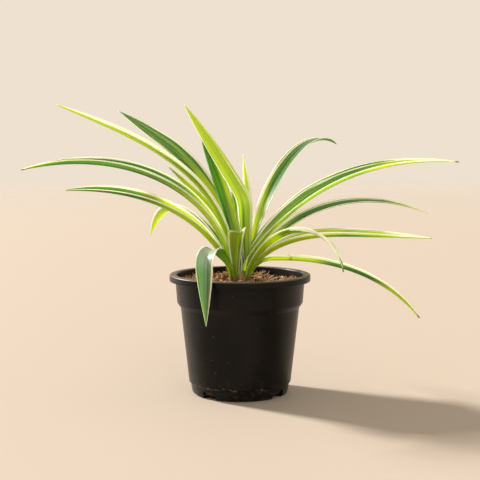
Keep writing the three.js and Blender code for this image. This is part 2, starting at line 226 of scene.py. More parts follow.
# %% The leaves: their lines
# heading is counted in degrees from +X towards +Y, rise and tip are slopes in degrees, bend is where
# along the leaf it turns from one to the other, and lengths and widths are in millimetres. widest is
# where along the leaf it is broadest, for a leaf that differs from the others in that.
LEAVES = {
    "heart": dict(
        heading=74, seat=(2.6, 0.5), rise=68.4, tip=84.7, bend=(0.7, 0.99), early=-1.2,
        length=117, width=9.9, stalk=0.46, taper=2.45, sheath=24, veer=50.3, fold=24, roll=0),
    "back_tall": dict(
        heading=134, seat=(6.4, 2), rise=87.1, tip=48.5, bend=(0.36, 0.44), early=0.28,
        length=182, width=16, stalk=0.46, taper=3.2, sheath=24, veer=4.2, fold=20, roll=-14),
    "back_left_inner": dict(
        heading=132, seat=(2.2, 5), rise=76.8, tip=58.7, bend=(0, 0.81), early=0.19,
        length=140, width=15.5, stalk=0.46, taper=3.2, sheath=24, veer=-4.2, fold=26, roll=-6),
    "back_left_arch": dict(
        heading=130, seat=(-3.6, 8.4), rise=83.5, tip=24.2, bend=(0.01, 0.69), early=0.39,
        length=239, width=18.3, stalk=0.46, taper=3.2, sheath=24, veer=6.3, fold=18, roll=-20),
    "left_high": dict(
        heading=169, seat=(-3.8, -1.6), rise=88, tip=23.4, bend=(0.07, 0.88), early=1,
        length=235, width=13.1, stalk=0.46, taper=3.2, sheath=24, veer=6.8, fold=45, roll=24),
    "left_short": dict(
        heading=150, seat=(-7.2, 0), rise=84.8, tip=40.9, bend=(0.23, 0.62), early=0.55,
        length=125, width=12.8, stalk=0.46, taper=3.2, sheath=24, veer=0, fold=25, roll=-10),
    "left_long": dict(
        heading=185, seat=(-5.8, -5.1), rise=82.9, tip=-11, bend=(0.05, 1), early=0.69,
        length=243, width=18.4, stalk=0.46, taper=2.16, sheath=24, veer=-31.9, fold=44, roll=-13),
    "left_low": dict(
        heading=202, seat=(-6.4, -5.8), rise=63.8, tip=-1.2, bend=(0.08, 1.02), early=0.47,
        length=178, width=15.9, stalk=0.46, taper=3.17, sheath=24, veer=-2.3, fold=44, roll=-26),
    "back_left_droop": dict(
        heading=133.2, seat=(-4.8, 7.2), rise=56.5, tip=-52, bend=(0.09, 1), early=-0.2,
        length=182.5, width=13.6, stalk=0.46, taper=3, sheath=24, veer=-25, fold=25, roll=27),
    "back_middle": dict(
        heading=102, seat=(2.6, 8.6), rise=74, tip=60, bend=(0, 0.9), early=0,
        length=114, width=12, stalk=0.46, taper=1.5, sheath=24, veer=18, fold=24, roll=0),
    "back_low": dict(
        heading=92, seat=(1.4, 8.4), rise=62, tip=-48, bend=(0.05, 1), early=0,
        length=150, width=14, stalk=0.46, taper=1.5, sheath=24, veer=4, fold=24, roll=0),
    "front_left_fold": dict(
        heading=243.5, seat=(-4, -7.8), rise=31, tip=-91, bend=(0.4, 0.625), early=0,
        length=126, width=21.6, stalk=0.15, widest=0.72, taper=1.5, sheath=24, veer=12, fold=22, roll=0),
    "front": dict(
        heading=280, seat=(-3.3, -6.4), rise=82, tip=30, bend=(0.55, 1), early=0,
        length=52, width=20.5, stalk=0.22, widest=1, taper=24, sheath=24, veer=0, fold=38, roll=12),
    "back_right_arch": dict(
        heading=56, seat=(3.8, 5.4), rise=67.3, tip=-21.4, bend=(0.08, 1.04), early=-0.43,
        length=231, width=15.6, stalk=0.2, taper=3.2, sheath=24, veer=3.9, fold=24, roll=0),
    "right_long": dict(
        heading=13, seat=(3.6, 2.4), rise=63, tip=-4.8, bend=(0.05, 1.02), early=0.37,
        length=239, width=21.5, stalk=0.85, taper=1.38, sheath=24, veer=-0.8, fold=41, roll=19),
    "right_middle": dict(
        heading=2, seat=(6.4, -2.8), rise=62.3, tip=-23.6, bend=(0.07, 1.01), early=0.14,
        length=187, width=15.2, stalk=0.46, taper=1.19, sheath=24, veer=-2.2, fold=30, roll=28),
    "front_right_hook": dict(
        heading=324, seat=(4.2, -7.3), rise=58, tip=-71.2, bend=(0.08, 1), early=-0.49,
        length=142, width=11.2, stalk=0.24, taper=3.2, sheath=24, veer=-21.1, fold=20, roll=-22),
    "right_level": dict(
        heading=340, seat=(6.6, -4.5), rise=57.9, tip=1.1, bend=(0.05, 0.66), early=0.98,
        length=179, width=15.1, stalk=0.34, taper=2.13, sheath=26, veer=-13.9, fold=46, roll=16),
    "right_droop": dict(
        heading=17, seat=(7.6, 4), rise=2.5, tip=-51, bend=(0.1, 1), early=-0.47,
        length=182, width=11.4, stalk=0.46, taper=3.2, sheath=36, veer=-23, fold=46, roll=8),
}
ROOT_HEIGHT = 92
SHEATH_RISE = 80
FOOT_FOLD = 50
ROLL_END = 0.4
LINE_STEPS = 240


def smooth(x):
    t = min(1, max(0, x))
    return t * t * (3 - 2 * t)


def slope(leaf, s):
    """Angle above the horizontal at a share s of the leaf's length."""
    start, end = leaf["bend"]
    t = min(1, max(0, (s - start) / (end - start)))
    arch = leaf["rise"] + (leaf["tip"] - leaf["rise"]) * (t + leaf["early"] * t * (1 - t))
    sheath = 1 - smooth(s * leaf["length"] / leaf["sheath"])
    return math.radians(arch + (SHEATH_RISE - leaf["rise"]) * sheath)


def leaf_line(leaf):
    """Place, sideways direction and upward direction for each step along the leaf's midline."""
    steps = []
    place = Vector((*leaf["seat"], ROOT_HEIGHT))
    for i in range(LINE_STEPS + 1):
        s = i / LINE_STEPS
        turn = math.radians(leaf["heading"] + leaf["veer"] * s * s)
        up = slope(leaf, s)
        along = Vector((math.cos(turn) * math.cos(up), math.sin(turn) * math.cos(up), math.sin(up)))
        side = Vector((-math.sin(turn), math.cos(turn), 0))
        side.rotate(Quaternion(along, math.radians(leaf["roll"] * smooth(s / ROLL_END))))
        steps.append((place.copy(), side, along.cross(side)))
        place += along * (leaf["length"] / LINE_STEPS)
    return steps


print("leaves:", len(LEAVES), "longest:", max(leaf["length"] for leaf in LEAVES.values()), "mm")

# %% [markdown]
# ## How each leaf looks
#
# The plant is variegated: a green middle with fine pale streaks between two cream margins. The
# margins differ from leaf to leaf and even between the two sides of one leaf, and so does the green,
# from fresh lime near the crown to deep green further out. So each leaf gets a short list of its own.
# `cream` is the width of the margins on its right and left side, as seen from its foot looking to
# its tip, in shares of half its width. `lime` gives points along the leaf, from 0 for deep green to
# 1 for lime, and `painted_lit_side` makes its left side that much more lime and its right side less:
# painted light and shade across the fold, where the lime side stands for the lit half and the deeper
# green for the half in shade. `olive_and_shade` gives points for a duller, browner green, partly the
# leaf's own colour and partly painted shade on its feet and shaded undersides, `painted_sheen` for a pale
# painted sheen on the outer part of some leaves, `calm` for where the stripes fade, and `bare` for where
# the margins are that much narrower, or wider if it is below 0. Also, `bruise` lists spots by place and
# reach along the leaf, and `brown` is how far the tip has dried.

# %% The leaves: their colours
LOOKS = {
    "heart": dict(cream=(0.6, 0.5), lime=[(0, 0.7), (0.4, 1), (1, 1)], brown=0),
    "back_tall": dict(
        cream=(0.2, 0.16), lime=[(0, 0.5), (0.38, 0.7), (0.48, 1), (1, 1)], painted_lit_side=-0.3,
        olive_and_shade=[(0, 0.3), (0.36, 0.25), (0.44, 0), (1, 0)], calm=[(0, 0.3), (1, 0.3)], brown=0),
    "back_left_inner": dict(
        cream=(0.14, 0.12), lime=[(0, 0.7), (0.5, 0.4), (1, 0.1)], painted_lit_side=-0.6,
        calm=[(0, 0.5), (1, 0.5)], brown=0),
    "back_left_arch": dict(
        cream=(0.22, 0.2), lime=[(0, 1), (0.35, 0.95), (0.5, 0.35), (0.8, 0.15), (1, 0.2)],
        calm=[(0, 0.3), (1, 0.15)], brown=0.2),
    "left_high": dict(cream=(0.42, 0.52), lime=[(0, 0.6), (0.3, 0.8), (0.7, 0.75), (1, 1)], brown=0.3),
    "left_short": dict(
        cream=(0.25, 0.2), lime=[(0, 0.6), (0.5, 1), (0.8, 0.9), (1, 0.3)],
        olive_and_shade=[(0, 0), (0.7, 0), (1, 0.7)], brown=0.2),
    "left_long": dict(
        cream=(0.16, 0.18), lime=[(0, 0.7), (0.3, 0.7), (0.5, 0.15), (0.8, 0.1), (1, 0.6)], painted_lit_side=0.1,
        painted_sheen=[(0, 0), (0.45, 0), (0.6, 0.25), (0.8, 0.25), (1, 0)],
        calm=[(0, 0.2), (0.5, 0.5), (1, 0.5)], brown=1),
    "left_low": dict(
        cream=(0.26, 0.2), lime=[(0, 0.5), (0.3, 1), (0.5, 0.8), (0.7, 0.2), (1, 0.3)], painted_lit_side=0.1,
        calm=[(0, 0.2), (1, 0.5)], brown=0.3),
    "back_left_droop": dict(
        cream=(0.3, 0.34), lime=[(0, 0.5), (0.6, 0.05), (0.72, 0.8), (1, 1)],
        painted_sheen=[(0.4, 0), (0.5, 0.7), (0.6, 0.6), (0.7, 0), (1, 0)], brown=0.2),
    "back_middle": dict(cream=(0.25, 0.25), lime=[(0, 0.6), (1, 0.5)], brown=0),
    "back_low": dict(cream=(0.25, 0.2), lime=[(0, 0.6), (0.6, 0.2), (1, 0.4)], brown=0.3),
    # The rising part is painted olive with narrower margins, as painted shade on its underside; from the
    # fold on it is painted pale, a painted highlight.
    "front_left_fold": dict(
        cream=(0.2, 0.18), bare=[(0, 0.2), (0.38, 0.2), (0.46, 0), (1, 0)],
        lime=[(0, 0.6), (0.3, 0.3), (0.5, 0.1), (1, 0.2)],
        olive_and_shade=[(0, 0.5), (0.2, 1), (0.42, 0.9), (0.5, 0), (1, 0)],
        painted_sheen=[(0.4, 0), (0.48, 1.3), (0.56, 1.1), (0.66, 0.6), (1, 0.4)],
        calm=[(0, 0.8), (0.8, 0.8), (1, 0.2)], brown=0.4),
    # This leaf is painted olive all along: painted shade on its underside, which faces away from the
    # light.
    "front": dict(
        cream=(0.14, 0.5), lime=[(0, 0.6), (0.4, 0.75), (1, 0.7)], olive_and_shade=[(0, 0.6), (0.3, 0.8), (1, 0.6)],
        calm=[(0, 0.7), (1, 0.7)], brown=0.5),
    "back_right_arch": dict(
        cream=(0.16, 0.2), lime=[(0, 1), (0.25, 0.9), (0.42, 0.15), (1, 0)], painted_lit_side=0.2,
        olive_and_shade=[(0, 0), (0.86, 0), (0.94, 1), (1, 1)],
        painted_sheen=[(0.5, 0), (0.65, 0.3), (0.8, 0.8), (0.88, 0.4), (1, 0)],
        calm=[(0, 0.3), (0.4, 0.6), (1, 0.6)], brown=0.3),
    "right_long": dict(
        cream=(0.2, 0.18), bare=[(0, 0), (0.7, 0), (0.85, -0.25), (1, -0.4)],
        lime=[(0, 0.9), (0.25, 0.55), (0.6, 0.45), (0.75, 0.9), (1, 1)], painted_lit_side=-0.5,
        calm=[(0, 0.2), (1, 0.4)], brown=1),
    "right_middle": dict(
        cream=(0.22, 0.3), bare=[(0, 0), (0.8, 0), (1, -0.4)],
        lime=[(0, 1), (0.3, 0.6), (0.42, 0.1), (0.75, 0.1), (0.86, 0.8), (1, 1)], painted_lit_side=-0.2,
        painted_sheen=[(0.4, 0), (0.6, 0.3), (0.74, 0.6), (0.84, 0.1), (1, 0)],
        calm=[(0, 0.4), (1, 0.6)], brown=0.4),
    # The hook is painted pale, with much wider margins and a strong pale wash: a painted sheen on its
    # upper face.
    "front_right_hook": dict(
        cream=(0.14, 0.16), bare=[(0, 0), (0.48, 0), (0.6, -0.7), (0.9, -0.7), (0.96, 0), (1, 0.2)],
        lime=[(0, 0.5), (0.35, 0.8), (0.6, 0.2), (1, 0)],
        olive_and_shade=[(0, 0.3), (0.2, 0.6), (0.4, 0.1), (0.45, 1), (0.5, 0.8), (0.55, 0), (0.93, 0), (1, 0.5)],
        painted_sheen=[(0.5, 0.1), (0.62, 0.7), (0.72, 1.2), (0.92, 1), (1, 0.2)],
        calm=[(0, 0.5), (1, 0.5)], brown=0.8),
    "right_level": dict(
        cream=(0.2, 0.16), bare=[(0, 0), (0.75, 0), (1, -0.5)],
        lime=[(0, 1), (0.4, 1), (0.6, 0.5), (0.8, 0.8), (1, 1)], calm=[(0, 0.3), (1, 0.3)], brown=0.2),
    "right_droop": dict(
        cream=(0.14, 0.26), lime=[(0, 0.9), (0.36, 0.8), (0.48, 0.15), (0.68, 0.15), (0.8, 0.9), (1, 1)],
        bruise=[(0.27, 0.018)], calm=[(0, 0.4), (1, 0.4)], brown=1),
}
print("looks for", len(LOOKS), "leaves")

# %% [markdown]
# ## The waxy, striped skin
#
# A leaf is thin enough to glow when light comes from behind it, so its skin is two shaders in one:
# a waxy surface, and a translucent one that passes light through. The glow's colour has to be the
# same all over a shader, so there are three such pairs, for deep green, lime and cream, and masks
# choose between them. The masks come from values stored on each blade, so the stripes follow the
# leaf round its arch. Where the cream margin meets the green, the two interleave in thin lines, so
# a noise that is stretched along the leaf shifts the border. The underside is duller than the upper
# face, and has a pale midrib along its keel.

# %% Leaf skin
DEEP = rgb(46, 90, 10)
DEEP_STREAK = rgb(122, 172, 66)
LIME = rgb(148, 180, 8)
LIME_STREAK = rgb(234, 240, 104)
CREAM = rgb(255, 255, 246)
CREAM_SHADE = rgb(246, 248, 196)
# Painted sheen: a pale grey-green laid over the green where light reflects off the outer leaves
PAINTED_SHEEN = rgb(206, 218, 204)
# A dull olive green: the leaf's own colour at dried tips, and painted shade on shaded feet and undersides
OLIVE_AND_SHADE = rgb(86, 96, 16)
BRUISE = rgb(98, 72, 34)
DRY = rgb(120, 78, 40)
EARTHY = rgb(92, 62, 42)
DEEP_GLOW = rgb(112, 184, 8)
LIME_GLOW = rgb(234, 248, 16)
CREAM_GLOW = rgb(255, 255, 238)
GLOW_SHARE = 0.55
VEINS = 26


def leaf_skin(name, under):
    skin = Finish(name)
    blade_map = skin.node("ShaderNodeUVMap", {"uv_map": "blade"})
    across = skin.node("ShaderNodeSeparateXYZ", inputs={0: blade_map}, output="X")
    streaks = skin.noise(skin.stretch(blade_map, (9, 0.3, 1)), 1, 3, 0.7).rise(0.42, 0.62)
    bands = skin.noise(skin.stretch(blade_map, (4.5, 0.4, 1)), 1, 1, 0.5).rise(0.38, 0.62)
    fine = skin.noise(skin.stretch(blade_map, (VEINS * 2, 0.8, 1)), 1, 2, 0.5)
    patches = skin.noise(skin.stretch(blade_map, (1, 1.2, 1)), 1.5, 2, 0.5)
    wander = skin.noise(skin.stretch(blade_map, (3, 1.6, 1)), 1, 2, 0.5)
    midrib = 1 - (across * 2 - 1).size().rise(0.02, 0.1)
    lively = 1 - skin.attribute("calm")
    ribbed = midrib * (0.5 if under else 0.15)
    streak = streaks * (0.5 if under else 0.7) * (patches * 0.8 + 0.5) * lively + ribbed
    border = skin.attribute("cream") + (wander - 0.5) * 0.2 + (streaks - 0.5) * 0.24
    cream = border.rise(-0.04, 0.04)
    lime = (skin.attribute("lime") + (bands - 0.5) * 0.7 * lively + (patches - 0.5) * 0.3).rise(0.1, 0.9)
    dry = (skin.attribute("dry") + (fine - 0.5) * 0.4).rise(0.35, 0.7)
    bruise = (skin.attribute("bruise") + (patches - 0.5) * 0.5 + (fine - 0.5) * 0.4).rise(0.4, 1.2)
    earthy = (skin.attribute("earthy") + (patches - 0.5) * 0.7).rise(0.3, 0.9)
    # Duller olive green: partly the leaf's own colour, partly painted shade.
    olive_and_shade = (skin.attribute("olive_and_shade") + (streaks - 0.5) * 0.3).rise(0.1, 1.1)
    glow_share = (1 - olive_and_shade * 0.35) * (1 - (bruise + dry + earthy) * 0.8) * GLOW_SHARE

    fresh = skin.blend(
        skin.blend(DEEP, DEEP_STREAK, streak), skin.blend(LIME, LIME_STREAK, streak), lime)
    # Painted sheen: the green turns pale grey where light reflects off the outer part of some leaves
    painted_sheen = (skin.attribute("painted_sheen") + (streaks - 0.5) * 0.35 + (fine - 0.5) * 0.3).rise(0, 1.4)
    green = skin.blend(skin.blend(fresh, OLIVE_AND_SHADE, olive_and_shade * 0.75), PAINTED_SHEEN, painted_sheen)
    rim = skin.blend(CREAM, CREAM_SHADE, fine.rise(0.35, 0.7) * 0.7)
    relief = skin.bump((across * (2 * math.pi * VEINS)).sine() * 0.5 + fine, 0.35, 0.00025)
    roughness = fine * 0.16 + (0.4 if under else 0.26)

    def pair(colour, glow):
        bruised = skin.blend(colour, BRUISE, bruise)
        stained = skin.blend(skin.blend(bruised, EARTHY, earthy), DRY, dry)
        wax = skin.node("ShaderNodeBsdfPrincipled", inputs={
            "Base Color": stained, "Roughness": roughness, "Normal": relief, "IOR": 1.5,
            "Specular IOR Level": 0.75, "Coat Weight": 0.35, "Coat Roughness": 0.35})
        light = skin.node("ShaderNodeBsdfTranslucent", inputs={"Color": glow})
        return skin.layer(wax, light, glow_share)

    greens = skin.layer(pair(green, DEEP_GLOW), pair(green, LIME_GLOW), lime)
    return skin.done(skin.layer(greens, pair(rim, CREAM_GLOW), cream))


leaf_top = leaf_skin("leaf_top", under=False)
leaf_under = leaf_skin("leaf_under", under=True)
print("leaf skins:", leaf_top.name, leaf_under.name)

# %% [markdown]
# ## A blade
#
# A grid is the natural start for a leaf: its columns become the width, with the middle column on the
# keel, and its rows become stations along the length. Each vertex is moved to its place on the
# folded blade, and the values for the skin are stored on it there. A Solidify modifier then gives
# the sheet its thickness, more at the keel than at the margins, and its second face takes the
# underside's skin. Unlike a bevelled curve, this keeps full control over fold, twist and taper.

# %% Shape one blade
GRID_ACROSS = 16
GRID_ALONG = 120
STALK_END = 0.42
TAPER_START = 0.4
FOLD_END = 0.35
TIP_HALF = 0.16
KEEL_SOFTNESS = 0.06
KEEL_THICK = 1.0
EDGE_SHARE = 0.42
THINNING = 1.6
DRY_LENGTH = 7
EARTH_TOP = 108
EARTH_LOW = 95
FOOT_LENGTH = 30
# How strongly the leaf feet are painted olive: painted shade where the crowded crown lies in shade
FOOT_SHADE = 0.5
FOOT_NARROWING = 0.1
# The blade map counts a leaf's length in units of 100 mm, and each leaf starts 7 units further on.
MAP_UNIT = 100
MAP_SHIFT = 7
NOWHERE = [(0, 0), (1, 0)]
SKIN_VALUES = ("cream", "lime", "olive_and_shade", "painted_sheen", "calm", "dry", "bruise", "earthy")


def half_width(leaf, s):
    stalk = leaf["stalk"] + (1 - leaf["stalk"]) * smooth(s / leaf.get("widest", STALK_END))
    taper = 1 - max(0, (s - TAPER_START) / (1 - TAPER_START)) ** leaf["taper"]
    return max(TIP_HALF, leaf["width"] / 2 * stalk * taper)


def channel(u):
    """Height of the blade's face over its keel, from 0 at the keel to 1 at the margin."""
    low = math.sqrt(KEEL_SOFTNESS)
    return (math.sqrt(u * u + KEEL_SOFTNESS) - low) / (math.sqrt(1 + KEEL_SOFTNESS) - low)


def along_list(points, s):
    """A value at s on straight lines between (share, value) points."""
    for (s0, v0), (s1, v1) in zip(points, points[1:]):
        if s <= s1:
            return v0 + (v1 - v0) * (s - s0) / (s1 - s0)
    return points[-1][1]


def grow_blade(name, number):
    leaf = LEAVES[name]
    look = LOOKS[name]
    line = leaf_line(leaf)
    bm = bmesh.new()
    blade_map = bm.loops.layers.uv.new("blade")
    stored = {key: bm.verts.layers.float.new(key) for key in SKIN_VALUES}
    body = bm.verts.layers.deform.new()
    bmesh.ops.create_grid(bm, x_segments=GRID_ACROSS, y_segments=GRID_ALONG, size=1)
    spots = {vert: (vert.co.x, (vert.co.y + 1) / 2) for vert in bm.verts}
    for vert, (u, s) in spots.items():
        step = min(LINE_STEPS - 1, int(s * LINE_STEPS))
        part = s * LINE_STEPS - step
        place, side, up = (a.lerp(b, part) for a, b in zip(line[step], line[step + 1]))
        half = half_width(leaf, s)
        fold = math.radians(leaf["fold"] + (FOOT_FOLD - leaf["fold"]) * (1 - smooth(s / FOLD_END)))
        across = half * math.cos(fold) * u
        lift = half * math.sin(fold) * channel(u)
        vert.co = (place + side.normalized() * across + up.normalized() * lift) * MM
        narrowed = FOOT_NARROWING * (1 - smooth(s / FOLD_END)) + along_list(look.get("bare", NOWHERE), s)
        vert[stored["cream"]] = look["cream"][u > 0] - narrowed - (1 - abs(u))
        # Painted light and shade: one half of the fold is painted more lime, as if lit, and the other
        # deeper green, as if in shade.
        vert[stored["lime"]] = along_list(look["lime"], s) + look.get("painted_lit_side", 0) * u
        vert[stored["painted_sheen"]] = along_list(look.get("painted_sheen", NOWHERE), s)
        vert[stored["calm"]] = along_list(look.get("calm", NOWHERE), s)
        # Painted shade: each leaf's foot in the crown is painted olive, fading out from 15 to 45 mm up
        # the leaf.
        foot = 1 - smooth((s * leaf["length"] - 0.5 * FOOT_LENGTH) / FOOT_LENGTH)
        vert[stored["olive_and_shade"]] = max(along_list(look.get("olive_and_shade", NOWHERE), s), FOOT_SHADE * foot)
        vert[stored["dry"]] = look["brown"] * (1 - (1 - s) * leaf["length"] / DRY_LENGTH)
        spots_here = [1 - abs(s - at) / reach for at, reach in look.get("bruise", [])]
        vert[stored["bruise"]] = max([0, *spots_here])
        low = (EARTH_TOP - vert.co.z / MM) / (EARTH_TOP - EARTH_LOW)
        vert[stored["earthy"]] = low if s * leaf["length"] < FOOT_LENGTH else 0
        vert[body][0] = 1 - (1 - EDGE_SHARE) * min(1, THINNING * abs(u))
    bmesh.ops.reverse_faces(bm, faces=bm.faces[:])
    for face in bm.faces:
        for loop in face.loops:
            u, s = spots[loop.vert]
            loop[blade_map].uv = ((u + 1) / 2, s * leaf["length"] / MAP_UNIT + MAP_SHIFT * number)
    piece = make_piece(bm, f"blade_{name}", [leaf_top, leaf_under], f"leaf_{name}")
    piece.vertex_groups.new(name="body")
    wall = piece.modifiers.new("thickness", "SOLIDIFY")
    wall.thickness = KEEL_THICK * MM
    wall.offset = -1
    wall.vertex_group = "body"
    wall.material_offset = 1
    wall.material_offset_rim = 0
    wall.use_even_offset = False
    return piece


blades = {name: grow_blade(name, number) for number, name in enumerate(LEAVES)}
print("blades:", len(blades), "faces each:", len(next(iter(blades.values())).data.polygons))

# %% [markdown]
# ## The crown
#
# All the leaves rise from one short, thick stem, and their clasping feet hide most of it. The packed
# crown has those feet grown on as one solid. The finer blades already run down to the mix, so only
# the stem is left to make: an outline spun round the plant's middle, roughened where old leaves were
# shed. A spin is the simplest way to make any round, upright thing.

# %% Stem
STEM = [(0, 80), (6.2, 84), (8.2, 92), (8.4, 97), (7.2, 101.5), (4.2, 105), (0, 106.5)]
STEM_SIDES = 48
STEM_LUMP_SCALE = 260
STEM_LUMP_HEIGHT = 0.8


def spun(outline, sides):
    """A closed surface from (radius, height) pairs in millimetres, spun about the upright axis."""
    bm = bmesh.new()
    points = [bm.verts.new((radius * MM, 0, height * MM)) for radius, height in outline]
    edges = [bm.edges.new(pair) for pair in zip(points, points[1:])]
    bmesh.ops.spin(
        bm, geom=points + edges, cent=(0, 0, 0), axis=(0, 0, 1), angle=2 * math.pi,
        steps=sides, use_merge=True)
    bmesh.ops.remove_doubles(bm, verts=bm.verts[:], dist=1e-6)
    bmesh.ops.recalc_face_normals(bm, faces=bm.faces[:])
    return bm


stem_skin = Finish("stem_skin")
stem_noise = stem_skin.noise(stem_skin.stretch(stem_skin.object_place(), (1, 1, 0.12)), 520, 4, 0.65)
stem_low = 1 - (stem_skin.height() + (stem_noise - 0.5) * 0.014).rise(0.096, 0.107)
stem_green = stem_skin.blend(rgb(156, 146, 66), rgb(88, 92, 24), stem_noise.rise(0.35, 0.65))
stem_brown = stem_skin.blend(rgb(150, 108, 66), EARTHY, stem_noise.rise(0.4, 0.6))
stem_colour = stem_skin.blend(stem_green, stem_brown, stem_low)
stem_wax = stem_skin.node("ShaderNodeBsdfPrincipled", inputs={
    "Base Color": stem_colour, "Roughness": 0.5 + stem_noise * 0.2,
    "Normal": stem_skin.bump(stem_noise, 0.8, 0.0008)})
stem_finish = stem_skin.done(stem_wax)

stem_mesh = spun(STEM, STEM_SIDES)
bmesh.ops.subdivide_edges(stem_mesh, edges=stem_mesh.edges[:], cuts=1, use_grid_fill=True)
for vert in stem_mesh.verts:
    vert.co += vert.normal * noise.noise(vert.co * STEM_LUMP_SCALE) * STEM_LUMP_HEIGHT * MM
stem = make_piece(stem_mesh, "stem", [stem_finish], "crown")
print("stem faces:", len(stem.data.polygons))

# %% [markdown]
# ## The bed of potting mix
#
# The pot is filled with bark chips and coconut fibre. Modelling every crumb down to the floor would
# be wasted, because only the top shows. So the mix is a plain bed with a lumpy top, which fills the
# pot, and about 2,500 separate chips and fibres that lie on it. The bed is spun like the stem, with
# many rings across its top, and the top is then pushed up and down by noise.

# %% Bed
BED_TOP = 94.6
BED_UNDER = 2.9
BED_EDGE = 53.0
BED_WALL = [
    (38.9, BED_UNDER), (40.2, 9), (41.6, 11), (48.5, 73.5), (51.5, 78), (BED_EDGE, 94.0)]
BED_RINGS = 40
BED_SIDES = 120
# Each layer of lumps: how closely they follow each other, their height in mm and a level in the noise
BED_LUMPS = [(55, 2.2, 0.3), (190, 1.3, 1.7), (620, 0.7, 4.1)]


def bed_height(x, y):
    """Height of the lumpy top at a place in the pot, in metres."""
    lumps = sum(noise.noise(Vector((x, y, level)) * scale) * high for scale, high, level in BED_LUMPS)
    return (BED_TOP + lumps) * MM


mix_colour = Finish("mix")
grain = mix_colour.noise(mix_colour.object_place(), 900, 4, 0.65)
clods = mix_colour.noise(mix_colour.object_place(), 190, 3)
mix_dark = mix_colour.blend(rgb(14, 9, 7), rgb(48, 30, 19), grain.rise(0.35, 0.7))
mix_soil = mix_colour.node("ShaderNodeBsdfPrincipled", inputs={
    "Base Color": mix_colour.blend(mix_dark, rgb(112, 72, 42), clods.rise(0.5, 0.75) * 0.5),
    "Roughness": 0.85 + grain * 0.15,
    "Normal": mix_colour.bump(grain, 0.8, 0.0012)})
mix_finish = mix_colour.done(mix_soil)

rings = [(BED_EDGE * (BED_RINGS - 1 - i) / BED_RINGS, BED_TOP) for i in range(BED_RINGS)]
bed_mesh = spun([(0, BED_UNDER), *BED_WALL, *rings], BED_SIDES)
for vert in bed_mesh.verts:
    if vert.co.z > (BED_TOP - 0.1) * MM:
        vert.co.z = bed_height(vert.co.x, vert.co.y)
bed = make_piece(bed_mesh, "mix_bed", [mix_finish], "potting_mix")
print("bed faces:", len(bed.data.polygons))

# %% [markdown]
# ## Chips and fibres
#
# What makes the mix look real is its loose top: flat, torn bark chips in every brown, and pale
# springy fibres. Each kind starts as a few small and simple templates. Copies are turned,
# sized and laid on the bed by a seeded draw, and all copies of a kind are joined into one mesh, so
# they are real copies rather than particle systems or instances. The export drops particle systems
# and instances, so real joined copies are the safe choice.

# %% Scatter small templates over the bed
CROWN_CLEAR = 9.5
BED_REACH = 52.0
POT_INSIDE = 53.4


def crumb_template(draw, flat):
    """A torn chip: a coarse ball, flattened and knocked out of shape."""
    bm = bmesh.new()
    bmesh.ops.create_icosphere(bm, subdivisions=2, radius=0.5)
    long, broad, shift = draw.uniform(0.9, 1.4), draw.uniform(0.5, 0.9), draw.uniform(0, 90)
    for vert in bm.verts:
        torn = 1 + 0.7 * noise.noise(vert.co * 2.4 + Vector((shift, 0, 0))) + draw.uniform(-0.12, 0.12)
        vert.co = Vector((vert.co.x * long, vert.co.y * broad, vert.co.z * flat)) * torn
    mesh = bpy.data.meshes.new("crumb")
    bm.to_mesh(mesh)
    bm.free()
    return mesh


def fibre_template(draw, sides=3, cuts=6):
    """A thin cone, cut along its length and bent into a loose curl, one unit long."""
    bm = bmesh.new()
    bmesh.ops.create_cone(
        bm, cap_ends=True, segments=sides, radius1=0.03, radius2=0.014, depth=1)
    lengthwise = [e for e in bm.edges if abs(e.verts[0].co.z - e.verts[1].co.z) > 0.5]
    bmesh.ops.subdivide_edges(bm, edges=lengthwise, cuts=cuts, use_grid_fill=True)
    curl, wave, turn = draw.uniform(0.6, 2.4), draw.uniform(0.02, 0.07), draw.uniform(0, 6)
    for vert in bm.verts:
        t = vert.co.z + 0.5
        angle = curl * (t - 0.5)
        lift = Vector((math.sin(angle) / curl, 0, (1 - math.cos(angle)) / curl))
        sway = Vector((0, wave * math.sin(5 * t + turn), 0.6 * wave * math.sin(7 * t)))
        vert.co = lift + sway + Vector((0, vert.co.x, vert.co.y))
    mesh = bpy.data.meshes.new("fibre")
    bm.to_mesh(mesh)
    bm.free()
    return mesh


def scatter(name, templates, count, sizes, lean, raise_by, draw, finish):
    """Lays copies of the templates on the bed and joins them into one piece."""
    heap = bmesh.new()
    tone = heap.verts.layers.float.new("tone")
    for _ in range(count):
        radius = math.sqrt(draw.uniform(CROWN_CLEAR ** 2, BED_REACH ** 2)) * MM
        turn = draw.uniform(0, 2 * math.pi)
        x, y = radius * math.cos(turn), radius * math.sin(turn)
        size = draw.uniform(*sizes) * MM
        spin = Euler((draw.gauss(0, lean), draw.gauss(0, lean), draw.uniform(0, 2 * math.pi))).to_matrix()
        place = Vector((x, y, bed_height(x, y) + draw.uniform(0, raise_by) * MM))
        copy = draw.choice(templates).copy()
        copy.transform(Matrix.Translation(place) @ spin.to_4x4() @ Matrix.Scale(size, 4))
        shade = draw.random()
        values = copy.attributes.new("tone", "FLOAT", "POINT").data
        values.foreach_set("value", [shade] * len(values))
        heap.from_mesh(copy)
        bpy.data.meshes.remove(copy)
    wall = POT_INSIDE * MM
    for vert in heap.verts:
        reach = math.hypot(vert.co.x, vert.co.y)
        if reach > wall:
            vert.co.x *= wall / reach
            vert.co.y *= wall / reach
    return make_piece(heap, name, [finish], None, smooth=False)


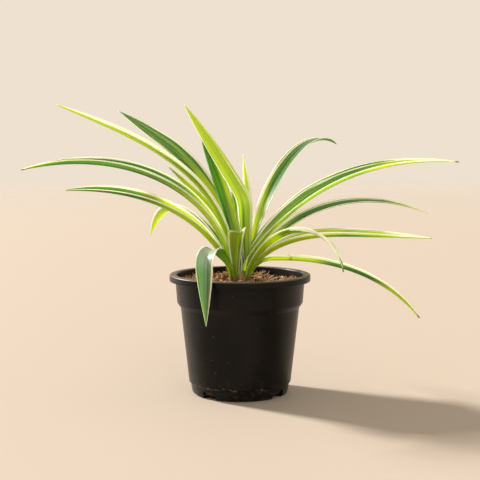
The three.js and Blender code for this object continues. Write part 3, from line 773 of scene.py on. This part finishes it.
def crumb_finish(name, dark, middle, light):
    crumb = Finish(name)
    tone = crumb.attribute("tone")
    rough = crumb.noise(crumb.object_place(), 900, 4, 0.65)
    low = crumb.blend(dark, middle, tone.rise(0.0, 0.55))
    colour = crumb.blend(low, light, (tone + (rough - 0.5) * 0.9).rise(0.62, 1.1))
    return crumb.done(crumb.node("ShaderNodeBsdfPrincipled", inputs={
        "Base Color": colour, "Roughness": 0.75 + rough * 0.2,
        "Normal": crumb.bump(rough, 0.8, 0.0008)}))


draw = random.Random(7)
bark = crumb_finish("bark", rgb(28, 19, 13), rgb(138, 94, 60), rgb(240, 206, 164))
coir = crumb_finish("coir", rgb(96, 56, 30), rgb(196, 142, 92), rgb(248, 218, 176))
crumbs = [crumb_template(draw, draw.uniform(0.2, 0.6)) for _ in range(12)]
fibres = [fibre_template(draw) for _ in range(10)]
chips = scatter(
    "bark_chips", crumbs, count=900, sizes=(2.4, 6.4), lean=0.5, raise_by=1.4, draw=draw, finish=bark)
dust = scatter(
    "bark_crumbs", crumbs, count=1200, sizes=(0.8, 2.4), lean=0.7, raise_by=1.4, draw=draw, finish=bark)
strands = scatter(
    "coir_fibres", fibres, count=380, sizes=(5, 13), lean=0.12, raise_by=1.2, draw=draw, finish=coir)
for heap in (chips, dust, strands):
    print(heap.name, len(heap.data.polygons), "faces")

# %% [markdown]
# ## The nursery pot
#
# The pot is blown or moulded from thin black plastic: a flat rim with a short turned-down skirt, a
# wider collar that lets pots stack, a tapered wall and a narrower foot with drainage notches. Its
# outline is spun, and its sharp rings are then bevelled, because moulded plastic never has a knife
# edge, and a rounded edge is what catches the light. The notches are cut with a Boolean modifier.

# %% Pot
POT_OUTLINE = [
    (0, 0), (39.4, 0), (41, 1.6), (42.3, 9), (43.6, 10), (50.6, 73.5), (53.6, 78), (55.4, 100.3),
    (58.5, 100.3), (58.5, 96.4), (60, 96.4), (60, 101.2), (59.2, 102), (54.7, 102), (53.9, 101.2),
    (52.1, 78), (49.1, 73.5), (42.1, 10), (40.8, 9), (39.5, 2.4), (0, 2.4)]
POT_SIDES = 160
POT_ROUND = 0.45
NOTCH_HEADINGS = (231, 321, 51, 141)
NOTCH_HALF = 6.5
NOTCH_HEIGHT = 6.5
NOTCH_DEPTH = 18
NOTCH_RADIUS = 41
NOTCH_ROUND = 2
CREASE = 38


def sharp_rings(bm, least):
    """The edges round the pot where its outline turns by more than least degrees."""
    return [
        e for e in bm.edges
        if len(e.link_faces) == 2 and abs(e.verts[0].co.z - e.verts[1].co.z) < 1e-6
        and math.degrees(e.calc_face_angle(0)) > least]


pot_mesh = spun(POT_OUTLINE, POT_SIDES)
bmesh.ops.bevel(
    pot_mesh, geom=sharp_rings(pot_mesh, least=12), offset=POT_ROUND * MM, segments=3, profile=0.5,
    affect="EDGES", material=-1, clamp_overlap=True)
print("pot faces:", len(pot_mesh.faces))

# %% [markdown]
# ## Notches and black plastic
#
# Four notches let water out where the wall meets the floor. They are boxes, taken away from the pot
# in one Boolean, and the result is kept as a plain mesh. Black plastic is never one flat black: it
# has a broad cloudy sheen, dry water marks that run down the wall, dust, and scuffs near the foot.
# Its rim's top is also painted paler all round, as a painted highlight.

# %% Cut the notches
def notch_cutter():
    bm = bmesh.new()
    for heading in NOTCH_HEADINGS:
        size = Matrix.Diagonal((NOTCH_DEPTH * MM, 2 * NOTCH_HALF * MM, 2 * NOTCH_HEIGHT * MM, 1))
        turn = Matrix.Rotation(math.radians(heading), 4, "Z")
        shift = Matrix.Translation((NOTCH_RADIUS * MM, 0, 0))
        box = bmesh.ops.create_cube(bm, size=1, matrix=turn @ shift @ size)["verts"]
        top = [v for v in box if v.co.z > 0]
        upper = [e for e in bm.edges if e.verts[0] in top and e.verts[1] in top]
        outward = Vector((math.cos(math.radians(heading)), math.sin(math.radians(heading)), 0))
        arch = [e for e in upper if abs((e.verts[0].co - e.verts[1].co).normalized().dot(outward)) > 0.9]
        bmesh.ops.bevel(
            bm, geom=arch, offset=NOTCH_ROUND * MM, segments=3, profile=0.5, affect="EDGES", material=-1)
    mesh = bpy.data.meshes.new("notches")
    bm.to_mesh(mesh)
    bm.free()
    cutter = bpy.data.objects.new("notches", mesh)
    scene.collection.objects.link(cutter)
    return cutter


plastic = Finish("black_plastic")
place = plastic.object_place()
height = plastic.height()
cloud = plastic.noise(place, 26, 3)
marks = plastic.noise(plastic.stretch(place, (1, 1, 0.1)), 150, 3)
scratch = plastic.noise(plastic.stretch(place, (1, 1, 7)), 60, 4, 0.7).rise(0.6, 0.78)
specks = plastic.noise(place, 430, 1).rise(0.77, 0.81)
scuffs = plastic.noise(plastic.stretch(place, (1, 1, 1.6)), 240, 4, 0.7).rise(0.5, 0.75)
foot = 1 - height.rise(0.004, 0.024)
ledge = height.rise(0.0085, 0.0095) * (1 - height.rise(0.0102, 0.012))
# The rim's top is painted paler all round: a painted highlight, mixed in with the dust and scuffs.
lip = height.rise(0.1008, 0.1018)
dust_and_rim_highlight = specks * 0.32 + scuffs * (foot * 0.16 + ledge * 0.4) + (cloud * 0.3 + 0.05) * lip + scratch * 0.02
plastic_base = plastic.blend(rgb(5, 5, 4), rgb(25, 20, 16), cloud.rise(0.4, 0.75) * 0.5 + marks * 0.2)
plastic_finish = plastic.done(plastic.node("ShaderNodeBsdfPrincipled", inputs={
    "Base Color": plastic.blend(plastic_base, rgb(158, 140, 120), dust_and_rim_highlight),
    "Roughness": 0.24 + cloud * 0.08 + marks * 0.12 + dust_and_rim_highlight * 0.4,
    "Normal": plastic.bump(cloud + marks * 0.3 + scratch * 0.1, 0.25, 0.0012),
    "IOR": 1.49, "Specular IOR Level": 0.16}))

pot = make_piece(pot_mesh, "nursery_pot", [plastic_finish], "pot")
cutter = notch_cutter()
cut = pot.modifiers.new("notches", "BOOLEAN")
cut.operation = "DIFFERENCE"
cut.solver = "EXACT"
cut.object = cutter
bpy.context.view_layer.update()
carved = bpy.data.meshes.new_from_object(pot.evaluated_get(bpy.context.evaluated_depsgraph_get()))
pot.modifiers.remove(cut)
bpy.data.objects.remove(cutter)
pot.data = carved
carved.set_sharp_from_angle(angle=math.radians(CREASE))
print("pot with notches:", len(carved.polygons), "faces")

# %% [markdown]
# ## Floor
#
# The plant is judged on a plain pale floor. A plain disc is enough, but its edge would draw a hard
# line across the picture. A cove, a floor that curves up at the back, would hide that line, yet it
# also shades the floor. So the disc's paint fades out with distance instead, and the far floor
# passes softly into the air behind it. The disc isn't part of the plant.

# %% Floor
FLOOR_REACH = 30
FLOOR_FADE = (1.2, 6.0)
FLOOR_DROP = 0.2
FLOOR_COLOUR = rgb(160, 149, 137)

floor_mesh = bmesh.new()
bmesh.ops.create_circle(floor_mesh, cap_ends=True, segments=96, radius=FLOOR_REACH)
bmesh.ops.translate(floor_mesh, verts=floor_mesh.verts[:], vec=(0, 0, -FLOOR_DROP * MM))
floor_data = bpy.data.meshes.new("floor")
floor_mesh.to_mesh(floor_data)
floor_mesh.free()
floor = bpy.data.objects.new("floor", floor_data)
scene.collection.objects.link(floor)
paint = Finish("pale_floor")
away = paint.node("ShaderNodeVectorMath", {"operation": "LENGTH"}, {0: paint.object_place()}, "Value")
floor_data.materials.append(paint.done(paint.node("ShaderNodeBsdfPrincipled", inputs={
    "Base Color": FLOOR_COLOUR, "Roughness": 0.7, "Specular IOR Level": 0.2,
    "Alpha": 1 - away.rise(*FLOOR_FADE)})))
print("floor normals up:", floor_data.polygons[0].normal.z > 0)

# %% [markdown]
# ## Light
#
# In the photograph warm light comes from behind the plant, high on the left. It makes the leaves
# glow, and throws the pot's shadow to the right and forwards. An area light near the plant would
# burn out the floor on its own side, so the key is a distant light, which is equally strong
# everywhere. Its disc is eight degrees wide, so the shadow's edge is soft. A broad, weak one from
# the front lifts the near sides of the leaves, and the bright air fills the rest.

# %% Distant lights and bright air
def far_light(name, direction, spread, strength, colour):
    lamp = bpy.data.lights.new(name, "SUN")
    lamp.energy = strength
    lamp.angle = math.radians(spread)
    lamp.color = colour
    light = bpy.data.objects.new(name, lamp)
    light.rotation_euler = Vector(direction).to_track_quat("-Z", "Y").to_euler()
    scene.collection.objects.link(light)
    return light


WARM = (1.0, 0.955, 0.89)
WHITE = (1.0, 0.98, 0.96)
far_light("key", direction=(4.07, -2.55, -2.9), spread=8, strength=8.8, colour=WARM)
far_light("front", direction=(-0.5, 2.0, -1.2), spread=40, strength=0.7, colour=WHITE)

world = bpy.data.worlds.new("studio_air")
world.use_nodes = True
air = world.node_tree.nodes["Background"]
air.inputs["Color"].default_value = rgb(252, 238, 220)
air.inputs["Strength"].default_value = 0.88
scene.world = world
scene.view_settings.view_transform = "Standard"
scene.view_settings.look = "None"
